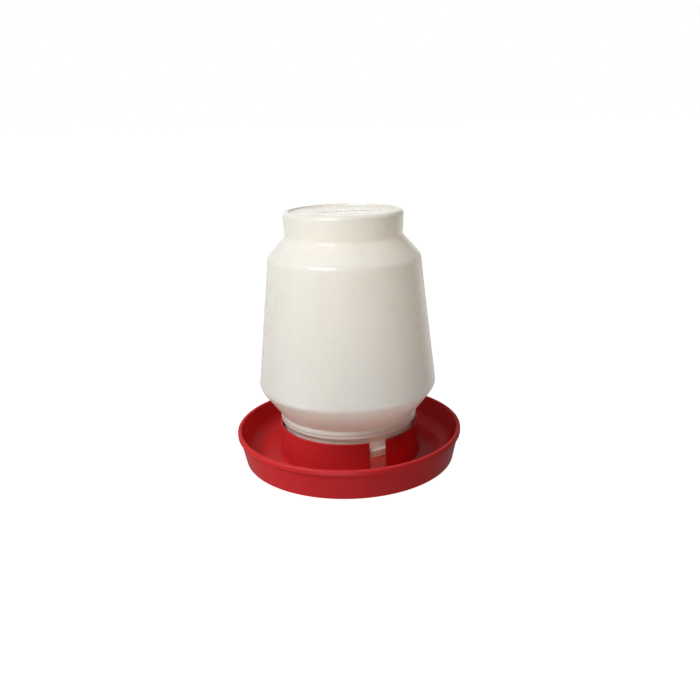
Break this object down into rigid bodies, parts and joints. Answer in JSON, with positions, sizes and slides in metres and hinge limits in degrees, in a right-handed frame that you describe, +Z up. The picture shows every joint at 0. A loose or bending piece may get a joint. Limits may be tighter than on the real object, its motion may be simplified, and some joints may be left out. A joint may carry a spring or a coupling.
{
  "type": "poultry waterer fount",
  "caption": "Screw-on gravity drinker for poultry: a translucent tapered jar stands mouth down in a round red tray whose notched collar feeds water to the drinking trough.",
  "frame": {"origin": "middle of the tray's foot ring, on the surface the drinker stands on", "axes": "+Z up along the axis that the jar and tray share; -Y is the front, and the water outlet is 22.8 degrees from it towards +X"},
  "size_m": [0.235, 0.235, 0.2569],
  "materials": {
    "tray_plastic": "injection-moulded red polyethylene, satin gloss with fine moulding texture and light scuffs",
    "jar_plastic": "blow-moulded natural polyethylene, milky and translucent with a soft waxy sheen"
  },
  "bodies": {
    "base": {"base_tray": "tray_plastic"},
    "jar": {"water_jar": "jar_plastic"}
  },
  "joints": [
    {"name": "jar_lift", "type": "slide", "parent": "base", "child": "jar", "axis": [0, 0, 1], "range_m": [0, 0.06]}
  ]
}
